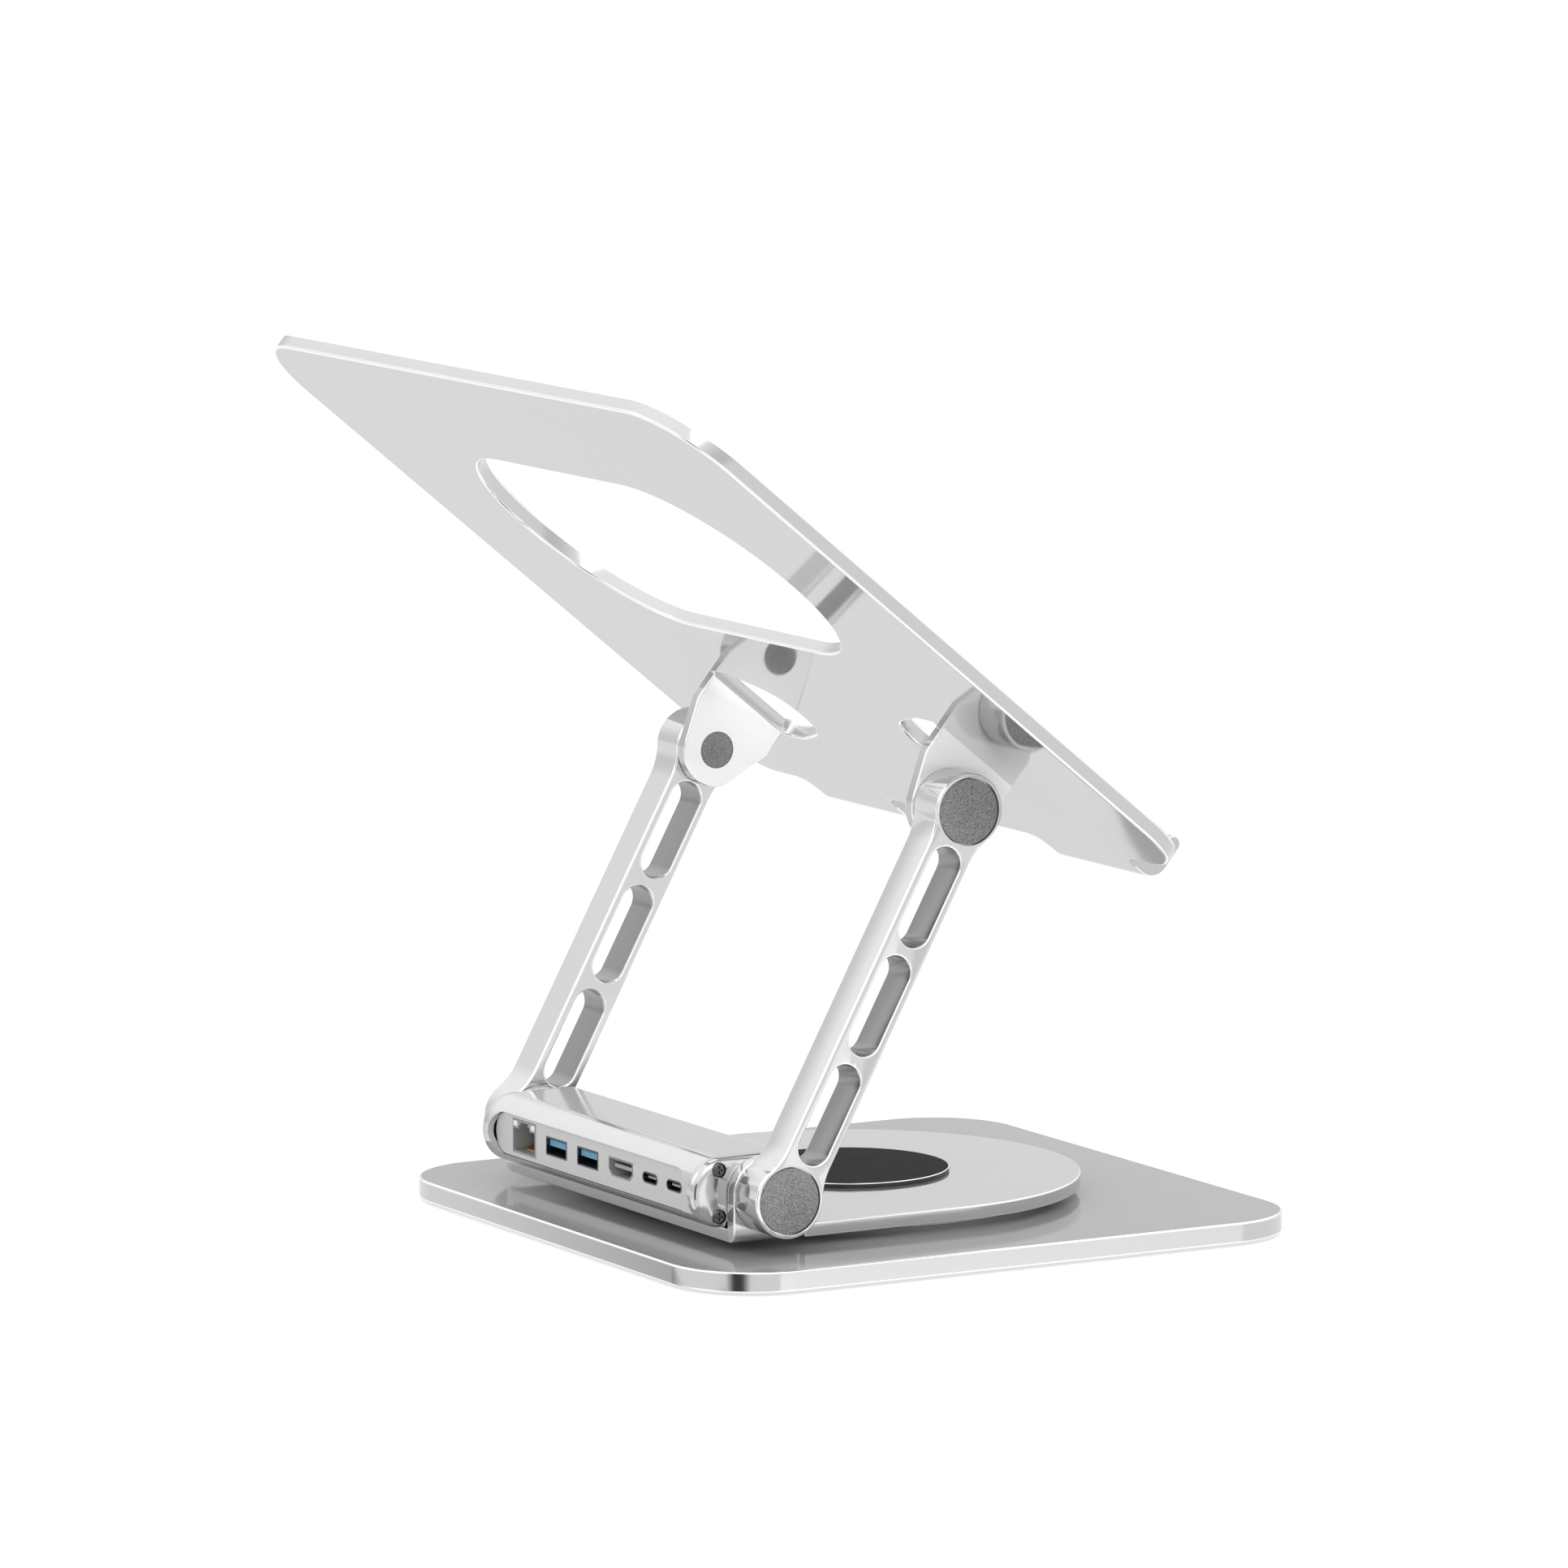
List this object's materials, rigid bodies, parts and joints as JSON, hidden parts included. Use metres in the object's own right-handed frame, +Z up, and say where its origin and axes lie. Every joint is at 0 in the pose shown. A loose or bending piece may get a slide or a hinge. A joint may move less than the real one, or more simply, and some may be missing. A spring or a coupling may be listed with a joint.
{
  "type": "laptop stand",
  "caption": "Laptop stand: square base, swivelling turntable with a socket hub, two slotted arms on friction hinges, and a tilting tray with turned-up front lips.",
  "frame": {"origin": "the centre of the face that rests on the desk, under the middle of the square base plate", "axes": "+Z up, +X to the right of the user at the laptop, -Y towards that user and the tray's front lips, +Y to the rear, where the sockets face"},
  "size_m": [0.2686, 0.2423, 0.2699],
  "materials": {
    "anodised_aluminium": "fine satin bead blast with bright cut edges",
    "steel": "plain",
    "silicone": "matt",
    "black_nylon": "moulded",
    "gloss_black": "gloss with a bright cut edge",
    "panel_grey": "fine satin",
    "board_green": "lacquered",
    "tongue_blue": "moulded",
    "gold_contact": "plated",
    "dark_cap": "fine grained"
  },
  "bodies": {
    "base": {"base_plate": "anodised_aluminium", "corner_foot_1": "silicone", "corner_foot_2": "silicone", "corner_foot_3": "silicone", "corner_foot_4": "silicone", "centre_pad": "silicone", "swivel_bolt": "steel", "swivel_nut": "steel", "swivel_spring_washer": "steel", "glide_ring": "black_nylon"},
    "turntable": {"turntable_plate": "anodised_aluminium", "swivel_bush": "black_nylon", "centre_cap": "gloss_black", "hub_shell": "anodised_aluminium", "hub_end_cap_left": "anodised_aluminium", "hub_end_cap_right": "anodised_aluminium", "socket_panel": "panel_grey", "circuit_board": "board_green", "network_socket": "steel", "network_contacts": "gold_contact", "data_socket_1": "steel", "data_tongue_1": "tongue_blue", "data_socket_2": "steel", "data_tongue_2": "tongue_blue", "video_socket": "steel", "video_tongue": "black_nylon", "power_socket_1": "steel", "power_tongue_1": "black_nylon", "power_socket_2": "steel", "power_tongue_2": "black_nylon", "hub_screw_left_1": "steel", "hub_screw_left_2": "steel", "hub_screw_right_1": "steel", "hub_screw_right_2": "steel", "lower_hinge_pin_left": "steel", "lower_hinge_nut_left": "steel", "lower_hinge_pin_right": "steel", "lower_hinge_nut_right": "steel"},
    "arms": {"arm_left": "anodised_aluminium", "lower_cap_left": "dark_cap", "upper_cap_left": "dark_cap", "lower_friction_washer_left": "black_nylon", "upper_friction_washer_left": "black_nylon", "arm_right": "anodised_aluminium", "lower_cap_right": "dark_cap", "upper_cap_right": "dark_cap", "lower_friction_washer_right": "black_nylon", "upper_friction_washer_right": "black_nylon"},
    "tray": {"tray_plate": "anodised_aluminium", "upper_hinge_pin_left": "steel", "upper_hinge_nut_left": "steel", "tab_cap_left": "dark_cap", "tray_pad_left": "silicone", "lip_pad_left": "silicone", "upper_hinge_pin_right": "steel", "upper_hinge_nut_right": "steel", "tab_cap_right": "dark_cap", "tray_pad_right": "silicone", "lip_pad_right": "silicone"}
  },
  "joints": [
    {"name": "swivel", "type": "hinge", "parent": "base", "child": "turntable", "pos_m": [0, 0, 0.01], "axis": [0, 0, 1], "continuous": true},
    {"name": "arm_lift", "type": "hinge", "parent": "turntable", "child": "arms", "pos_m": [0, 0.0694, 0.0242], "axis": [1, 0, 0], "range_deg": [-28, 35]},
    {"name": "tray_tilt", "type": "hinge", "parent": "arms", "child": "tray", "pos_m": [0, 0.0076, 0.13709], "axis": [1, 0, 0], "range_deg": [-40, 5]}
  ]
}
